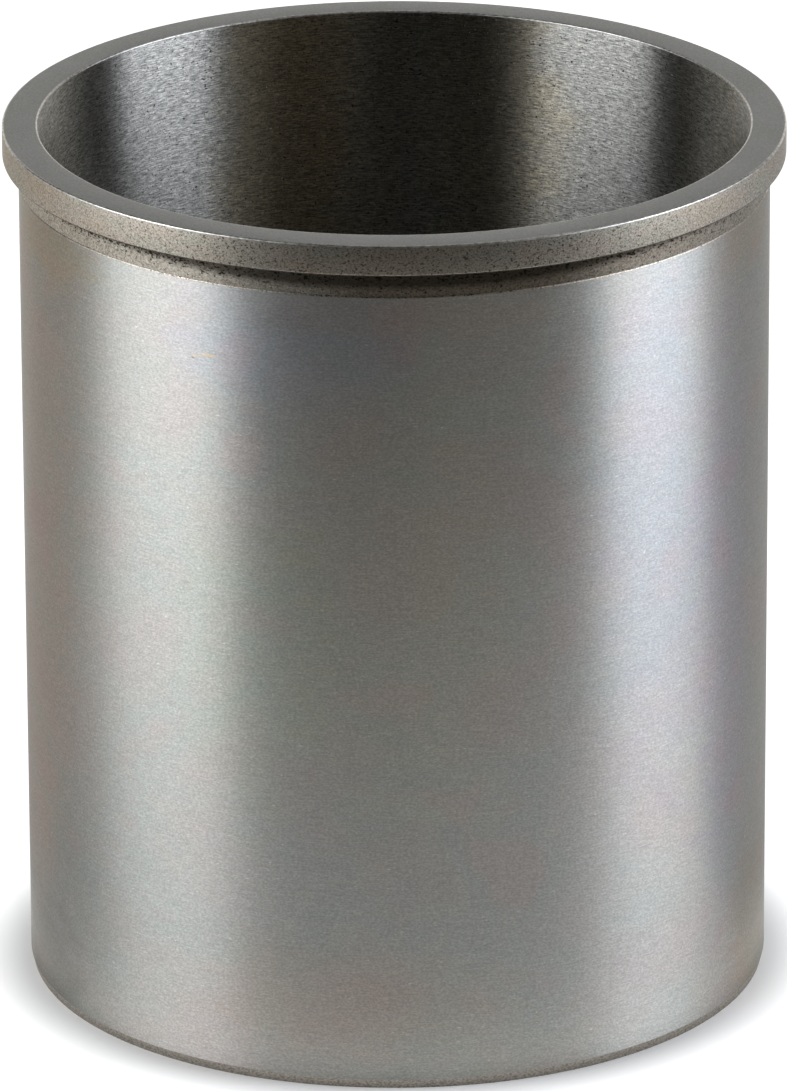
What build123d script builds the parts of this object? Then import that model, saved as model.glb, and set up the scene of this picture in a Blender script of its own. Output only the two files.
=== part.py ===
from build123d import *
import os

# Dry cylinder liner for a single-cylinder engine: one tube of centrifugally cast grey iron, turned and
# bored all over, ground on its barrel, with a thin flange at its top end. Sizes are in millimetres.
# +Z is up along the bore. The origin is the centre of the foot, so the liner stands on z = 0.

# ---- driving dimensions ----
bore_diameter = 90.0         # finished bore, in which the piston runs
wall_thickness = 2.5         # wall of the barrel, from the bore to the ground outside
overall_length = 112.5       # foot to the top of the flange

flange_overhang = 2.0        # how far the flange stands out beyond the barrel
flange_thickness = 4.0       # top face to the seat under the flange
flange_top_edge = 0.25       # 45 degree break on the flange's upper rim
flange_seat_edge = 0.4       # 45 degree break on the flange's lower rim

neck_width = 3.3             # turned band under the flange, where the grinding wheel runs out
neck_depth = 0.1             # how far that band lies under the ground barrel
neck_corner_radius = 0.5     # fillet between the band and the flange's seat

lead_height = 1.2            # shallow cone at the foot, which starts the liner into its block
lead_inset = 0.3             # how far that cone closes in by the foot

bore_top_edge = 0.25         # 45 degree break at the mouth of the bore
bore_foot_edge = 0.5         # 45 degree break at the bore's lower end

# ---- derived sizes ----
bore_radius = bore_diameter / 2
barrel_radius = bore_radius + wall_thickness
flange_radius = barrel_radius + flange_overhang
neck_radius = barrel_radius - neck_depth
seat_height = overall_length - flange_thickness
barrel_top = seat_height - neck_width


def liner_section():
    """The wall's section to the right of the axis, as points (radius, height), from the foot outwards."""
    return [
        (bore_radius + bore_foot_edge, 0),
        (barrel_radius - lead_inset, 0),
        (barrel_radius, lead_height),
        (barrel_radius, barrel_top),
        (neck_radius, barrel_top + neck_depth),
        (neck_radius, seat_height),
        (flange_radius - flange_seat_edge, seat_height),
        (flange_radius, seat_height + flange_seat_edge),
        (flange_radius, overall_length - flange_top_edge),
        (flange_radius - flange_top_edge, overall_length),
        (bore_radius + bore_top_edge, overall_length),
        (bore_radius, overall_length - bore_top_edge),
        (bore_radius, bore_foot_edge),
    ]


def cylinder_liner():
    """The whole liner: its section turned once round the bore's axis."""
    with BuildPart() as liner:
        with BuildSketch(Plane.XZ) as section:
            with BuildLine():
                Polyline(*liner_section(), close=True)
            make_face()
            seat_corner = section.vertices().sort_by_distance((neck_radius, seat_height))[0]
            fillet(seat_corner, radius=neck_corner_radius)
        revolve(axis=Axis.Z)
    liner.part.label = "cylinder_liner"
    return liner.part


os.makedirs("parts", exist_ok=True)
export_step(cylinder_liner(), "parts/cylinder_liner.step")
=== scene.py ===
import math

import bpy
from mathutils import Matrix, Vector


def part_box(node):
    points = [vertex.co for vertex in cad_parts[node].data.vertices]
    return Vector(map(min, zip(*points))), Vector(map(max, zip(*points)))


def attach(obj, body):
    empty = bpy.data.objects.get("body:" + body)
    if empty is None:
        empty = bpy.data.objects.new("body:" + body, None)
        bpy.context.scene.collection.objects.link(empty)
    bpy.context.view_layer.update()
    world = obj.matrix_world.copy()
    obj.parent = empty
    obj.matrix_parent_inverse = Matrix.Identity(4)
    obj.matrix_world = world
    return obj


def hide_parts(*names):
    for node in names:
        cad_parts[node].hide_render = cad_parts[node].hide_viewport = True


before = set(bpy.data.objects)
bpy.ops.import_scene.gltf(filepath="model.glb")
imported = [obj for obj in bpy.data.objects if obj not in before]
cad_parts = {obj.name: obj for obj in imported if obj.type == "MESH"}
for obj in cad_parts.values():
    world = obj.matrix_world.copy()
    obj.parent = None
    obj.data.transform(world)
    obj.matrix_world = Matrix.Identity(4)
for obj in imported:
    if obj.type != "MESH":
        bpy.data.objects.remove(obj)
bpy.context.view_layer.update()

# ---------------------------------------------------------------------------------------------
# The cylinder liner. One tube of centrifugally cast grey iron with a thin flange at its top end,
# turned and bored all over and ground on its barrel. It is pressed into an engine's block and
# hangs there by its flange. Sizes are in millimetres, azimuths in degrees round the bore's axis.
# ---------------------------------------------------------------------------------------------
MM = 0.001
low_corner, high_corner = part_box("cylinder_liner")
flange_radius = min(high_corner[0], -low_corner[0]) / MM
top_height = high_corner[2] / MM

wall_thickness = 2.5
flange_overhang = 2.0        # how far the flange stands out beyond the barrel
flange_thickness = 4.0
flange_top_edge = 0.25
flange_seat_edge = 0.4
neck_width = 3.3             # the turned band under the flange
neck_depth = 0.1             # how far it lies under the ground barrel
neck_corner_radius = 0.5
barrel_top_edge = 0.12
lead_height = 1.2            # the shallow cone at the foot
lead_inset = 0.3
bore_top_edge = 0.25
bore_foot_edge = 0.5

barrel_radius = flange_radius - flange_overhang
bore_radius = barrel_radius - wall_thickness
neck_radius = barrel_radius - neck_depth
seat_height = top_height - flange_thickness
barrel_top = seat_height - neck_width


def rounded_edge(start, end, corner, steps=8):
    """A broken edge that emery has rounded: from start to end, leaning towards the sharp corner."""
    points = []
    for step in range(1, steps + 1):
        t = step / steps
        shares = ((1 - t) ** 2, 2 * t * (1 - t), t ** 2)
        points.append(tuple(shares[0] * p + shares[1] * q + shares[2] * r
                            for p, q, r in zip(start, corner, end)))
    return points


def corner_arc(centre, radius, start_angle, end_angle, steps=10):
    """Points along an arc of the section, angles in degrees from the outward direction."""
    points = []
    for step in range(steps + 1):
        angle = math.radians(start_angle + (end_angle - start_angle) * step / steps)
        points.append((centre[0] + radius * math.cos(angle), centre[1] + radius * math.sin(angle)))
    return points


def section():
    """The wall's section as runs of (finish, points), from the foot outwards, up, and down the bore.
    A point is (radius, height), and the last point closes the section on the first."""
    foot_outer = (barrel_radius - lead_inset, 0)
    lead_top = (barrel_radius, lead_height)
    shoulder = (barrel_radius, barrel_top - barrel_top_edge)
    neck_foot = (neck_radius, barrel_top + neck_depth)
    shoulder_edge = rounded_edge(shoulder, neck_foot, (barrel_radius, barrel_top), steps=4)
    corner_centre = (neck_radius + neck_corner_radius, seat_height - neck_corner_radius)
    neck_corner = corner_arc(corner_centre, neck_corner_radius, 180, 90)
    seat_outer = (flange_radius - flange_seat_edge, seat_height)
    rim_foot = (flange_radius, seat_height + flange_seat_edge)
    seat_edge = rounded_edge(seat_outer, rim_foot, (flange_radius, seat_height))
    shaded_steps = 6              # how many steps of that edge take the neck's finish and its painted shade
    rim_top = (flange_radius, top_height - flange_top_edge)
    top_outer = (flange_radius - flange_top_edge, top_height)
    mouth_outer = (bore_radius + bore_top_edge, top_height)
    mouth_inner = (bore_radius, top_height - bore_top_edge)
    bore_foot = (bore_radius, bore_foot_edge)
    foot_inner = (bore_radius + bore_foot_edge, 0)
    return [
        (turned_foot, [foot_inner, foot_outer, lead_top]),
        (ground_barrel, [shoulder]),
        (turned_rim, shoulder_edge),
        (neck_groove, [*neck_corner, seat_outer, *seat_edge[:shaded_steps]]),
        (turned_rim, [*seat_edge[shaded_steps:], rim_top]),
        (cut_edge, rounded_edge(rim_top, top_outer, (flange_radius, top_height))),
        (faced_top, [mouth_outer]),
        (cut_edge, rounded_edge(mouth_outer, mouth_inner, (bore_radius, top_height))),
        (bored_inside, [bore_foot]),
        (turned_foot, rounded_edge(bore_foot, foot_inner, (bore_radius, 0))),
    ]


def turned_mesh(name, turns=720, sharpest_smooth=8.5):
    """The section turned round the axis. Each ring of quads carries the finish of its run, and an edge
    that turns by more than sharpest_smooth degrees stays sharp."""
    rings = [(finish, point) for finish, points in section() for point in points]
    count = len(rings) - 1
    around = [(math.cos(math.tau * k / turns), math.sin(math.tau * k / turns)) for k in range(turns)]
    vertices = [(r * MM * c, r * MM * s, z * MM) for _, (r, z) in rings[:count] for c, s in around]
    faces = []
    slots = []
    for ring, (finish, _) in enumerate(rings[1:]):
        low = ring * turns
        high = (ring + 1) % count * turns
        for k in range(turns):
            beside = (k + 1) % turns
            faces.append((low + k, low + beside, high + beside, high + k))
            slots.append(finishes.index(finish))
    mesh = bpy.data.meshes.new(name)
    mesh.from_pydata(vertices, [], faces)
    mesh.polygons.foreach_set("material_index", slots)
    mesh.shade_smooth()
    mesh.set_sharp_from_angle(angle=math.radians(sharpest_smooth))
    mesh.validate()
    return mesh


# The finishes of the iron. Every cut surface is bare metal. They differ in how the tool or the wheel
# left them: grain, tool lines, pores where the graphite lies open, and how sharply they shine.

def add_node(tree, kind, sockets=None, **settings):
    """One shader node. A socket is given a plain value, or the output that feeds it."""
    made = tree.nodes.new("ShaderNode" + kind)
    for name, value in settings.items():
        setattr(made, name, value)
    for name, value in (sockets or {}).items():
        if isinstance(name, int):
            socket = made.inputs[name]
        else:
            socket = next(s for s in made.inputs if name in (s.name, s.identifier))
        if isinstance(value, bpy.types.NodeSocket):
            tree.links.new(value, socket)
        else:
            socket.default_value = value
    return made


def new_material(name):
    """A fresh material and its node tree."""
    material = bpy.data.materials.new(name)
    material.use_nodes = True
    return material, material.node_tree


def calc(tree, how, first, second):
    """Arithmetic on two values."""
    return add_node(tree, "Math", {0: first, 1: second}, operation=how).outputs[0]


def vector_calc(tree, how, first, second):
    """Arithmetic on two vectors."""
    return add_node(tree, "VectorMath", {0: first, 1: second}, operation=how).outputs["Vector"]


def vector_length(tree, vector):
    """How long a vector is."""
    return add_node(tree, "VectorMath", {0: vector}, operation="LENGTH").outputs["Value"]


def level(tree, value, span, out=(0.0, 1.0), interpolation="LINEAR"):
    """A value mapped from one span to another, and held at its ends."""
    limits = {"From Min": span[0], "From Max": span[1], "To Min": out[0], "To Max": out[1]}
    node = add_node(tree, "MapRange", {"Value": value, **limits}, interpolation_type=interpolation)
    return node.outputs[0]


def ramp(tree, value, stops):
    """A colour that runs through stops of (place, colour)."""
    node = add_node(tree, "ValToRGB", {"Fac": value})
    while len(node.color_ramp.elements) < len(stops):
        node.color_ramp.elements.new(0.5)
    for element, (place, colour) in zip(node.color_ramp.elements, stops):
        element.position = place
        element.color = (*colour, 1.0)
    return node.outputs["Color"]


def blend(tree, share, first, second, how="MIX"):
    """Two colours mixed, or one laid over the other."""
    node = add_node(tree, "Mix", {"Factor_Float": share, "A_Color": first, "B_Color": second},
                    data_type="RGBA", blend_type=how)
    return next(s for s in node.outputs if s.identifier == "Result_Color")


def times(tree, colour, other):
    """One colour multiplied by another, or by a grey."""
    return blend(tree, 1.0, colour, other, "MULTIPLY")


def here(tree):
    """The place on the piece, in metres from its origin."""
    return add_node(tree, "TexCoord").outputs["Object"]


def axis_value(tree, axis):
    """That place along one axis."""
    return add_node(tree, "SeparateXYZ", {0: here(tree)}).outputs[axis]


def on_a_turned_wall(tree, along, across):
    """Texture space where a mark of this length round the wall and this height is one unit."""
    unit = (1 / along / MM, 1 / along / MM, 1 / across / MM)
    return add_node(tree, "Mapping", {"Vector": here(tree), "Scale": unit}).outputs["Vector"]


def on_a_faced_end(tree, along, across):
    """The same on a flat end, where the tool's path is a ring and a mark is narrow along the radius."""
    flat = vector_calc(tree, "MULTIPLY", here(tree), (1, 1, 0))
    ring = calc(tree, "MULTIPLY", vector_length(tree, flat), 1 / across / MM)
    spread = vector_calc(tree, "MULTIPLY", flat, (1 / along / MM,) * 3)
    lift = add_node(tree, "CombineXYZ", {"Z": ring}).outputs[0]
    return vector_calc(tree, "ADD", spread, lift)


noise_span = (0.3, 0.7)      # nearly all of a noise's values lie between these
middle_span = (0.34, 0.66)   # and most of them between these


def marks(tree, along, across, detail=2.0, rough=0.5, shift=0.0, surface=on_a_turned_wall):
    """Noise between 0 and 1, its marks this long along the tool's path and this wide across it."""
    place = surface(tree, along, across)
    settings = {"Vector": place, "W": shift, "Scale": 1.0, "Detail": detail, "Roughness": rough}
    return add_node(tree, "TexNoise", settings, noise_dimensions="4D").outputs[0]


def stain(tree, colour, azimuth, height, wide, tall, tint, strength, breakup, lean=0.0):
    """A tint round one place on the wall, its border broken up by a noise."""
    angle = math.radians(azimuth)
    centre = (barrel_radius * MM * math.cos(angle), barrel_radius * MM * math.sin(angle), height * MM)
    offset = vector_calc(tree, "SUBTRACT", here(tree), centre)
    if lean:
        tangent = (-math.sin(angle), math.cos(angle), 0)
        along = add_node(tree, "VectorMath", {0: offset, 1: tangent}, operation="DOT_PRODUCT")
        fall = calc(tree, "MULTIPLY", along.outputs["Value"], -lean)
        offset = vector_calc(tree, "ADD", offset, add_node(tree, "CombineXYZ", {"Z": fall}).outputs[0])
    unit = (1 / wide / MM, 1 / wide / MM, 1 / tall / MM)
    reach = vector_length(tree, vector_calc(tree, "MULTIPLY", offset, unit))
    raggedness = 0.25            # how far the noise moves the border, as a share of the stain's size
    ragged = level(tree, breakup, noise_span, (-raggedness, raggedness))
    border = (0.35, 1.1)         # whole out to the first share of its size, gone at the second
    mask = level(tree, calc(tree, "ADD", reach, ragged), border, (strength, 0.0), "SMOOTHSTEP")
    return blend(tree, mask, colour, (*tint, 1.0), "MULTIPLY")


def bare_iron(tree, colour, roughness, relief, depth, lay=0.0):
    """Bare iron of a colour, a roughness, and a relief with its depth. Where the tool's lines all run
    round the axis, lay says how strongly they draw out the shine across them."""
    shader = next(n for n in tree.nodes if n.type == "BSDF_PRINCIPLED")
    bump = add_node(tree, "Bump", {"Height": relief, "Strength": 1.0, "Distance": depth * MM})
    tree.links.new(colour, shader.inputs["Base Color"])
    tree.links.new(roughness, shader.inputs["Roughness"])
    tree.links.new(bump.outputs["Normal"], shader.inputs["Normal"])
    shader.inputs["Metallic"].default_value = 1.0
    if lay:
        quarter_turn = 0.25
        tangent = add_node(tree, "Tangent", direction_type="RADIAL", axis="Z")
        shader.inputs["Anisotropic"].default_value = lay
        shader.inputs["Anisotropic Rotation"].default_value = quarter_turn
        tree.links.new(tangent.outputs[0], shader.inputs["Tangent"])


def turned_foot():
    """The foot and its lead cone: turned last and left coarse, stained brown-grey from handling."""
    material, tree = new_material("turned_foot")
    grain = marks(tree, along=0.34, across=0.22, rough=0.6)
    browns = [(0.35, (0.42, 0.388, 0.345)), (0.52, (0.70, 0.655, 0.600)), (0.70, (0.86, 0.820, 0.765))]
    colour = ramp(tree, grain, browns)
    bare_iron(tree, colour, level(tree, grain, noise_span, (0.52, 0.44)), grain, depth=0.010)
    return material


# Tints on the barrel, where coolant has dried on the ground iron and where hands have held it:
# azimuth, height, reach round and up, tint, strength.
barrel_tints = [
    (-46, 74, 12, 46, (0.975, 0.985, 1.07), 0.9),      # lilac-blue down the right flank
    (-29, 56, 9, 50, (1.01, 0.965, 1.06), 0.9),        # lilac beside it
    (-107, 98, 20, 10, (0.96, 0.98, 1.075), 0.9),      # blue at the upper left
    (-112, 58, 12, 26, (0.98, 1.02, 0.95), 0.8),       # grey-green under it
    (-90, 66, 18, 38, (1.03, 1.0, 0.93), 0.9),         # straw along the front
    (-161, 56, 13, 66, (1.05, 0.975, 0.96), 1.0),      # pink-brown at the left
    (-17, 8, 11, 17, (0.96, 0.885, 0.81), 1.0),        # brown at the foot on the right
    (-161, 3, 14, 13, (0.76, 0.765, 0.765), 1.0),      # a dull patch at the foot on the left
    (-88, 102.5, 26, 3.5, (1.05, 0.975, 0.93), 0.9),   # a brown breath under the neck in front
    (-99, 12, 24, 10, (1.05, 0.98, 0.93), 0.9),        # another just above the foot
    (-20, 103, 12, 7, (1.06, 0.97, 0.87), 0.9),        # brown below the neck on the right
    (-156, 103, 14, 6, (1.06, 0.97, 0.84), 0.9),       # and on the left
]
# One fine straw-coloured fibre, dried on: the same columns, then how steeply it leans.
fibre = [
    (-119.0, 95.75, 1.5, 0.24, (1.34, 1.06, 0.78), 1.0, 0.0),
    (-121.3, 95.30, 0.8, 0.20, (1.16, 1.02, 0.84), 1.0, 0.55),
    (-121.6, 95.10, 0.4, 0.16, (0.62, 0.58, 0.52), 1.0, 0.0),
]


def ground_barrel():
    """The barrel: cylindrically ground, with level lines from the wheel and a satin sparkle."""
    material, tree = new_material("ground_barrel")
    wheel_lines = marks(tree, along=2.5, across=0.12)
    sparkle = marks(tree, along=0.32, across=0.19, detail=1.0, shift=3.1)
    glint = marks(tree, along=0.55, across=0.17, detail=1.0, shift=5.5)
    mottle = marks(tree, along=6.0, across=2.5, detail=3.0, shift=7.7)
    film = marks(tree, along=15.0, across=12.0, detail=3.0, shift=1.3)
    film_tints = [(0.34, (0.535, 0.500, 0.482)), (0.45, (0.528, 0.516, 0.492)),
                  (0.56, (0.506, 0.521, 0.498)), (0.66, (0.540, 0.502, 0.484))]
    colour = ramp(tree, film, film_tints)
    for azimuth, height, wide, tall, tint, strength in barrel_tints:
        colour = stain(tree, colour, azimuth, height, wide, tall, tint, strength, mottle)
    for azimuth, height, wide, tall, tint, strength, lean in fibre:
        colour = stain(tree, colour, azimuth, height, wide, tall, tint, strength, sparkle, lean)
    colour = times(tree, colour, level(tree, sparkle, (0.36, 0.66), (0.86, 1.14)))
    colour = times(tree, colour, level(tree, wheel_lines, middle_span, (0.93, 1.07)))
    colour = times(tree, colour, level(tree, glint, (0.69, 0.76), (1.0, 1.34)))
    roughness = level(tree, mottle, noise_span, (0.37, 0.41))
    roughness = calc(tree, "ADD", roughness, calc(tree, "MULTIPLY", sparkle, 0.04))
    relief = calc(tree, "ADD", calc(tree, "MULTIPLY", wheel_lines, 0.8), sparkle)
    bare_iron(tree, colour, roughness, relief, depth=0.007, lay=0.72)
    return material


def neck_groove():
    """The neck: left by a round-nosed tool, duller and darker than the barrel. Pits torn out of it
    crowd together close under the flange, where a painted shade darkens it, lowest at the front."""
    material, tree = new_material("neck_groove")
    grain = marks(tree, along=0.26, across=0.20, rough=0.6, shift=9.4)
    specks = marks(tree, along=0.42, across=0.26, shift=6.6)
    neck_span = (barrel_top * MM, seat_height * MM)
    below_seat = level(tree, axis_value(tree, "Z"), neck_span, (neck_width, 0.0))
    front_span = (-0.046, -0.034)
    in_front = level(tree, axis_value(tree, "Y"), front_span, (1.0, 0.0))

    browns = [(0.32, (0.26, 0.234, 0.195)), (0.50, (0.56, 0.522, 0.463)), (0.70, (0.80, 0.765, 0.700))]
    colour = ramp(tree, grain, browns)
    neck_middle = 106.8
    colour = stain(tree, colour, -81, neck_middle, wide=24, tall=30, tint=(0.58, 0.53, 0.46),
                   strength=1.0, breakup=specks)
    colour = stain(tree, colour, -38, neck_middle, wide=30, tall=30, tint=(0.74, 0.72, 0.70),
                   strength=1.0, breakup=specks)

    # A painted shade under the flange's overhang: a near-black band along the top of the neck.
    shade_drop = 1.05             # how much lower the painted shade reaches in front
    shade_raggedness = 0.22
    shade_edge = (1.60, 0.70)     # gone this far below the seat, thickest from here up
    shade_thickest = 0.86
    painted_shade_colour = (0.050, 0.042, 0.031, 1.0)
    depth = calc(tree, "SUBTRACT", below_seat, calc(tree, "MULTIPLY", in_front, shade_drop))
    ragged = level(tree, specks, noise_span, (shade_raggedness, -shade_raggedness))
    painted_shade = level(tree, calc(tree, "ADD", depth, ragged), shade_edge, (0.0, shade_thickest))
    colour = blend(tree, painted_shade, colour, painted_shade_colour)

    crowded_span = (2.2, 1.0)    # below the seat: pits grow more from the first to the second
    pit_edge = (0.63, 0.69)
    pit_colour = (0.020, 0.017, 0.014, 1.0)
    crowding = level(tree, below_seat, crowded_span, (0.0, 0.11))
    pit = level(tree, calc(tree, "ADD", specks, crowding), pit_edge)
    colour = blend(tree, pit, colour, pit_colour)
    roughness = level(tree, grain, noise_span, (0.36, 0.31))
    bare_iron(tree, colour, roughness, calc(tree, "SUBTRACT", grain, pit), depth=0.006)
    return material


def turned_rim():
    """The flange's rim: plain turned, a warm grey sprinkled with the casting's open grain."""
    material, tree = new_material("turned_rim")
    grain = marks(tree, along=0.25, across=0.20, detail=1.5, rough=0.6)
    specks = marks(tree, along=0.30, across=0.24, detail=1.0, shift=5.2)
    patches = marks(tree, along=9.0, across=3.0, detail=3.0, shift=2.2)

    greys = [(0.34, (0.34, 0.313, 0.272)), (0.50, (0.55, 0.516, 0.463)), (0.68, (0.75, 0.717, 0.660))]
    colour = ramp(tree, grain, greys)
    rim_middle = 110.5
    colour = stain(tree, colour, -92, rim_middle, wide=24, tall=30, tint=(0.74, 0.72, 0.70),
                   strength=0.9, breakup=specks)

    front_span = (-0.046, -0.028)        # the pores are more and deeper in front
    pore_edge = (0.60, 0.69)
    pore_colour = (0.10, 0.087, 0.072, 1.0)
    front_to_back = axis_value(tree, "Y")
    opener = level(tree, front_to_back, front_span, (0.036, -0.026))
    pore = level(tree, calc(tree, "ADD", specks, opener), pore_edge)
    darkness = level(tree, front_to_back, front_span, (1.0, 0.65))
    colour = blend(tree, calc(tree, "MULTIPLY", pore, darkness), colour, pore_colour)

    patch_tints = [(0.33, (1.0, 0.955, 0.88)), (0.47, (1.0, 0.96, 0.94)),
                   (0.56, (0.94, 0.965, 0.93)), (0.68, (0.97, 0.965, 0.96))]
    colour = times(tree, colour, ramp(tree, patches, patch_tints))
    roughness = level(tree, grain, noise_span, (0.43, 0.37))
    relief = calc(tree, "SUBTRACT", grain, calc(tree, "MULTIPLY", pore, 0.7))
    bare_iron(tree, colour, roughness, relief, depth=0.008)
    return material


def cut_edge():
    """A rounded edge: emery has left a bright clean line, a little ragged on this open iron."""
    material, tree = new_material("cut_edge")
    ragged = marks(tree, along=0.5, across=0.3)
    brights = [(0.34, (0.44, 0.43, 0.40)), (0.50, (0.70, 0.69, 0.66)), (0.62, (0.84, 0.83, 0.80))]
    colour = ramp(tree, ragged, brights)
    bare_iron(tree, colour, level(tree, ragged, noise_span, (0.32, 0.42)), ragged, depth=0.008)
    return material


def faced_top():
    """The top: finely faced, even and matt, with rings too fine to count."""
    material, tree = new_material("faced_top")
    rings = marks(tree, along=5.0, across=0.14, surface=on_a_faced_end)
    grain = marks(tree, along=0.26, across=0.24, shift=4.0)
    cloud = marks(tree, along=7.0, across=5.0, shift=2.9)
    greys = [(0.32, (0.350, 0.358, 0.360)), (0.68, (0.485, 0.492, 0.495))]
    cloud_tints = [(0.35, (0.97, 0.97, 0.96)), (0.65, (1.04, 1.03, 1.03))]
    colour = ramp(tree, grain, greys)
    colour = times(tree, colour, level(tree, rings, middle_span, (0.95, 1.05)))
    colour = times(tree, colour, ramp(tree, cloud, cloud_tints))
    roughness = level(tree, rings, noise_span, (0.44, 0.52))
    bare_iron(tree, colour, roughness, calc(tree, "ADD", rings, grain), depth=0.010)
    return material


def bored_inside():
    """The bore: fine-bored, with the tool's feed lines round it, short bright and dark streaks along
    its path, and flecks where the graphite lies open. Its lower part is darker: a painted shade deep in
    the bore."""
    material, tree = new_material("bored_inside")
    height = axis_value(tree, "Z")
    chatter = marks(tree, along=8.0, across=6.0, detail=3.0, shift=4.4)
    streaks = marks(tree, along=1.1, across=0.17, rough=0.6)
    grain = marks(tree, along=0.26, across=0.20, detail=1.5, shift=6.1)
    flecks = marks(tree, along=0.40, across=0.24, detail=1.0, shift=8.8)

    greys = [(0.34, (0.41, 0.404, 0.380)), (0.50, (0.53, 0.522, 0.496)), (0.66, (0.65, 0.643, 0.618))]
    straw = (1.12, 1.03, 0.86)
    straw_height = 98
    colour = ramp(tree, grain, greys)
    for azimuth in (110, 72):
        colour = stain(tree, colour, azimuth, straw_height, wide=12, tall=40, tint=straw,
                       strength=1.0, breakup=chatter)
    colour = times(tree, colour, level(tree, streaks, middle_span, (0.50, 1.46)))

    feed_pitch = 0.28
    feed_shade = 0.10
    turn = calc(tree, "MULTIPLY", height, math.tau / (feed_pitch * MM))
    feed_lines = add_node(tree, "Math", {0: turn}, operation="SINE").outputs[0]
    line_shade = level(tree, feed_lines, (-1.0, 1.0), (-feed_shade, feed_shade))
    line_shade = calc(tree, "MULTIPLY", line_shade, level(tree, chatter, (0.40, 0.62), (0.1, 1.0)))
    colour = times(tree, colour, calc(tree, "ADD", line_shade, 1.0))

    fleck_edge = (0.64, 0.72)
    graphite = (0.05, 0.048, 0.042, 1.0)
    fleck = level(tree, flecks, fleck_edge)
    colour = blend(tree, fleck, colour, graphite)

    # A painted shade: the bore's colour darkens deeper down.
    bore_shade_starts = 30              # below the mouth
    bore_shade_full = 62
    bore_shade_darkening = 0.5
    bore_shade_span = ((top_height - bore_shade_starts) * MM, (top_height - bore_shade_full) * MM)
    colour = times(tree, colour, level(tree, height, bore_shade_span, (1.0, bore_shade_darkening)))

    relief = calc(tree, "ADD", streaks, calc(tree, "MULTIPLY", grain, 0.6))
    relief = calc(tree, "SUBTRACT", relief, fleck)
    relief = calc(tree, "ADD", relief, calc(tree, "MULTIPLY", line_shade, 1.5))
    roughness = level(tree, grain, noise_span, (0.44, 0.38))
    bare_iron(tree, colour, roughness, relief, depth=0.012, lay=1.0)
    return material


finishes = [turned_foot, ground_barrel, neck_groove, turned_rim, cut_edge, faced_top, bored_inside]

liner = bpy.data.objects.new("cylinder_liner_metal", turned_mesh("cylinder_liner_metal"))
bpy.context.collection.objects.link(liner)
for finish in finishes:
    liner.data.materials.append(finish())

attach(liner, "root")
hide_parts("cylinder_liner")

# ---------------------------------------------------------------------------------------------
# The camera. A long lens about 1.36 m from the liner's top, looking down on it by 20 degrees, so
# that the mouth of the bore shows as an open ellipse. Distances from here on are in metres.
# ---------------------------------------------------------------------------------------------
camera_distance = 1.3576
camera_above_rim = math.radians(18.230)
pitch = math.radians(20.499)
roll = math.radians(-0.254)
yaw = math.radians(-0.014)
focal_length = 354.95        # this and the film's width in millimetres
film_width = 36.0
farthest_seen = 20.0

eye = Vector((0, -camera_distance * math.cos(camera_above_rim),
              camera_distance * math.sin(camera_above_rim) + top_height * MM))
look = Vector((math.sin(yaw) * math.cos(pitch), math.cos(yaw) * math.cos(pitch), -math.sin(pitch)))
level_right = look.cross(Vector((0, 0, 1))).normalized()
level_up = level_right.cross(look)
right = level_right * math.cos(roll) + level_up * math.sin(roll)
up = level_up * math.cos(roll) - level_right * math.sin(roll)
lens = bpy.data.cameras.new("camera")
lens.lens = focal_length
lens.sensor_width = film_width
lens.clip_end = farthest_seen
camera = bpy.data.objects.new("camera", lens)
camera.matrix_world = Matrix.Translation(eye) @ Matrix((right, up, -look)).transposed().to_4x4()
bpy.context.collection.objects.link(camera)
bpy.context.scene.camera = camera

# ---------------------------------------------------------------------------------------------
# The studio's paper. The liner stands on a round sweep of white paper, which curves up into a low
# wall all round. Seen from outside the paper is clear, so that a camera may also stand behind it.
# ---------------------------------------------------------------------------------------------
scene = bpy.context.scene
scene.view_settings.view_transform = "Standard"


def lathe_strip(name, outline, start, end, steps):
    """A sheet turned round the axis between two azimuths, from an outline of (radius, height)."""
    angles = [math.radians(start + (end - start) * k / steps) for k in range(steps + 1)]
    vertices = [(r * math.cos(a), r * math.sin(a), z) for a in angles for r, z in outline]
    n = len(outline)
    faces = [(k * n + i + 1, (k + 1) * n + i + 1, (k + 1) * n + i, k * n + i)
             for k in range(steps) for i in range(n - 1)]
    mesh = bpy.data.meshes.new(name)
    mesh.from_pydata(vertices, [], faces)
    mesh.shade_smooth()
    sheet = bpy.data.objects.new(name, mesh)
    bpy.context.collection.objects.link(sheet)
    return sheet


sweep_radius = 1.9
sweep_curve = 0.5
wall_height = 0.9
level_floor = 0.3            # the floor's shading stays level out to here
curve_foot = sweep_radius - sweep_curve
curve_angles = [math.radians(9 * k) for k in range(1, 11)]
sweep_outline = [(0.0, 0.0), (level_floor, 0.0), (curve_foot, 0.0)]
sweep_outline += [(curve_foot + sweep_curve * math.sin(a), sweep_curve * (1 - math.cos(a)))
                  for a in curve_angles]
sweep_outline.append((sweep_radius, wall_height))
sweep = lathe_strip("white_sweep", sweep_outline, 0, 360, steps=96)

# How bright the paper is in the iron's reflections beside the foot, near it, and far off; and how
# bright it is in view near the foot. The rings are the radii over which one goes into the next.
foot_glow = 0.62
near_glow = 0.09
far_glow = 0.95
near_glow_in_view = 0.83
foot_ring = (0.049, 0.066)
near_ring = (0.10, 0.40)
wall_ring = (0.046, 0.054)   # inside this the paper is painted dark, with no glow: a painted shade under the bore
glow_reflected = (1.0, 0.965, 0.89, 1.0)
glow_in_view = (1.0, 1.0, 1.0, 1.0)
shaded_paper = (0.05, 0.045, 0.04, 1.0)
plain_paper = (0.9, 0.9, 0.9, 1.0)


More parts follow.
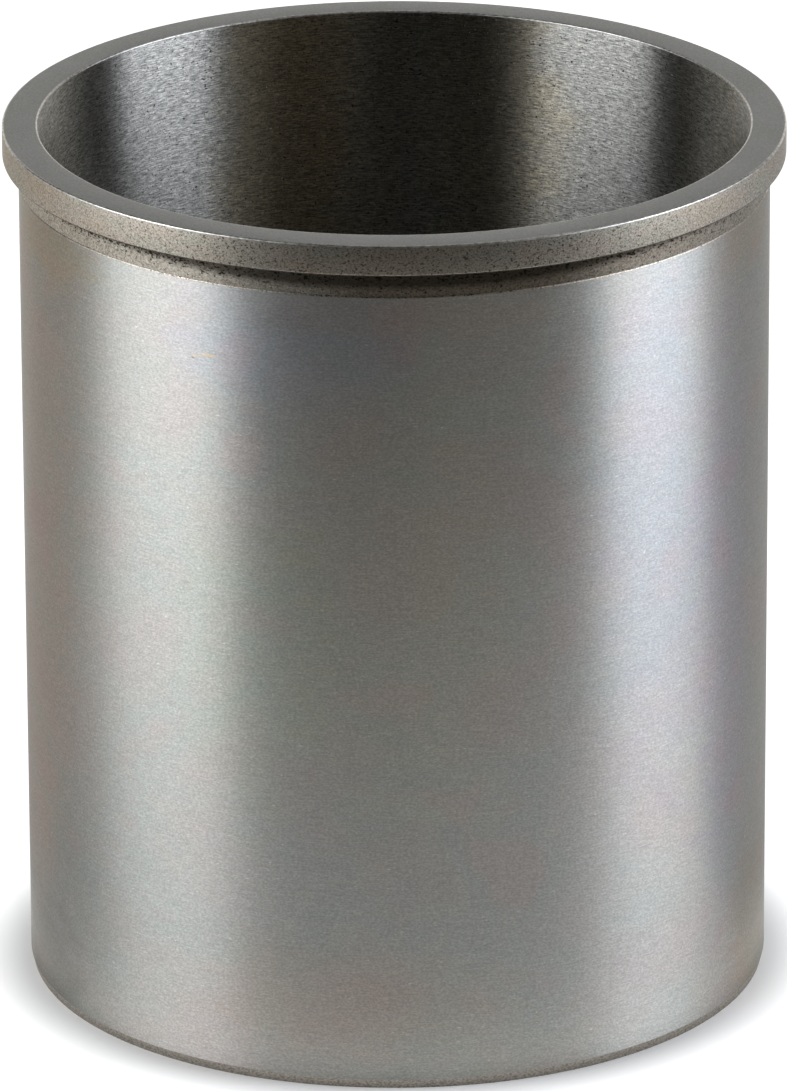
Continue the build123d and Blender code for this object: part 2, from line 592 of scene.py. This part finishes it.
def white_paper():
    """Matt paper that takes the liner's shadow, with a glow of its own in view and in reflections."""
    material, tree = new_material("white_paper")
    tree.nodes.clear()
    path = add_node(tree, "LightPath").outputs
    in_view = path["Is Camera Ray"]
    mirrored = calc(tree, "MAXIMUM", path["Is Glossy Ray"], path["Is Transmission Ray"])
    seen = calc(tree, "MAXIMUM", in_view, mirrored)
    away = vector_length(tree, here(tree))
    outside = level(tree, away, wall_ring)

    beside_foot = level(tree, away, foot_ring, (foot_glow, near_glow))
    near = level(tree, in_view, (0, 1), (beside_foot, near_glow_in_view))
    brightness = calc(tree, "MULTIPLY", level(tree, away, near_ring, (near, far_glow)), outside)
    brightness = calc(tree, "MULTIPLY", seen, brightness)
    glow_colour = blend(tree, in_view, glow_reflected, glow_in_view)
    glow = add_node(tree, "Emission", {"Color": glow_colour, "Strength": brightness})

    # Inside the wall ring the paper takes shaded_paper's near-black colour: a painted shade under the
    # bore.
    unshaded = calc(tree, "MAXIMUM", outside, in_view)
    matt = add_node(tree, "BsdfDiffuse", {"Color": blend(tree, unshaded, shaded_paper, plain_paper)})
    lit = add_node(tree, "AddShader", {0: glow.outputs[0], 1: matt.outputs[0]})
    from_outside = add_node(tree, "NewGeometry").outputs["Backfacing"]
    clear = add_node(tree, "BsdfTransparent")
    paper = add_node(tree, "MixShader", {0: from_outside, 1: lit.outputs[0], 2: clear.outputs[0]})
    add_node(tree, "OutputMaterial", {"Surface": paper.outputs[0]})
    material.cycles.emission_sampling = "NONE"
    return material


sweep.data.materials.append(white_paper())

# ---------------------------------------------------------------------------------------------
# The studio's cards: black and grey sheets that glow by themselves, lying on the floor and standing
# round it. Only the iron's reflections see this painted light: it keeps the front dark and fills
# the sides and the bore.
# ---------------------------------------------------------------------------------------------


def card(name, outline, start, end, colour, strength):
    """One card between two azimuths, glowing by itself with painted light that only reflections see."""
    sheet = lathe_strip(name, outline, start, end, steps=60)
    material, tree = new_material(name)
    tree.nodes.clear()
    shade = add_node(tree, "Emission", {"Color": (*colour, 1), "Strength": strength})
    add_node(tree, "OutputMaterial", {"Surface": shade.outputs[0]})
    material.cycles.emission_sampling = "NONE"
    sheet.data.materials.append(material)
    sheet.visible_camera = False
    sheet.visible_diffuse = False
    sheet.visible_shadow = False
    sheet.visible_transmission = False


near_edge = 0.064
table_edge = 0.225
card_radius = 1.35
card_height = 1.2
card_lift = 0.001            # clear of the paper
near_foot = [(near_edge, card_lift), (table_edge, card_lift)]
on_floor = [(table_edge, card_lift), (card_radius, card_lift)]
upright = [(card_radius, 2 * card_lift), (card_radius, card_height)]
warm_black = (1.0, 0.8, 0.55)
for name, outline, start, end, colour, strength in (
        ("black_floor_card", on_floor, -141, -28, warm_black, 0.005),
        ("left_grey_card", on_floor, 112, 170, (1.0, 0.93, 0.84), 0.48),
        ("left_glowing_floor", on_floor, 170, 219, (1.0, 0.96, 0.90), 0.55),
        ("right_grey_card", on_floor, 11, 68, (1.0, 1.0, 1.0), 0.38),
        ("right_glowing_floor", on_floor, -28, 11, (1.0, 0.97, 0.93), 0.45),
        ("right_near_floor", near_foot, -26, -2, (1.0, 0.98, 0.96), 0.62),
        ("left_near_floor", near_foot, 122, 168, (1.0, 0.95, 0.88), 0.45),
        ("right_near_shade", near_foot, 13, 67, (1.0, 0.98, 0.97), 0.42),
        ("black_wall_left", upright, 130, 278, warm_black, 0.005),
        ("dim_wall_front", upright, 278, 330, (1.0, 0.86, 0.66), 0.12),
        ("black_wall_right", upright, 330, 410, warm_black, 0.005)):
    card(name, outline, start, end, colour, strength)

# ---------------------------------------------------------------------------------------------
# The studio's lamps. A softbox stands at each side of the liner and draws a bright stripe down
# its barrel. A third hangs above and behind it, and the room itself is nearly dark.
# ---------------------------------------------------------------------------------------------


def softbox(name, place, rotation, width, height, radiance, colour):
    """A rectangular lamp, equally bright all over, that shines along its own -Z axis."""
    lamp = bpy.data.lights.new(name, "AREA")
    lamp.shape = "RECTANGLE"
    lamp.size = width
    lamp.size_y = height
    lamp.energy = radiance * math.pi * width * height
    lamp.color = colour
    box = bpy.data.objects.new(name, lamp)
    box.location = place
    box.rotation_euler = rotation
    box.visible_camera = False
    bpy.context.collection.objects.link(box)


side_distance = 0.9
side_height = 0.75
for name, azimuth, width, radiance, colour in (
        ("left_softbox", -161.5, 0.71, 3.5, (0.97, 1.0, 1.03)),
        ("right_softbox", -7.0, 0.59, 4.0, (0.955, 1.0, 1.08))):
    outward = Vector((math.cos(math.radians(azimuth)), math.sin(math.radians(azimuth)), 0))
    place = outward * side_distance + Vector((0, 0, side_height / 2))
    rotation = outward.to_track_quat("Z", "Y").to_euler()
    softbox(name, place, rotation, width, side_height, radiance, colour)

overhead_place = (0.18, 0.40, 1.2)
straight_down = (0, 0, 0)
softbox("overhead_softbox", overhead_place, straight_down, 0.56, 0.50, 1.0, (1, 1, 1))

room_colour = (1.0, 0.95, 0.88, 1)
room_strength = 0.012
world = bpy.data.worlds.new("room")
world.use_nodes = True
background = world.node_tree.nodes["Background"]
background.inputs["Color"].default_value = room_colour
background.inputs["Strength"].default_value = room_strength
scene.world = world
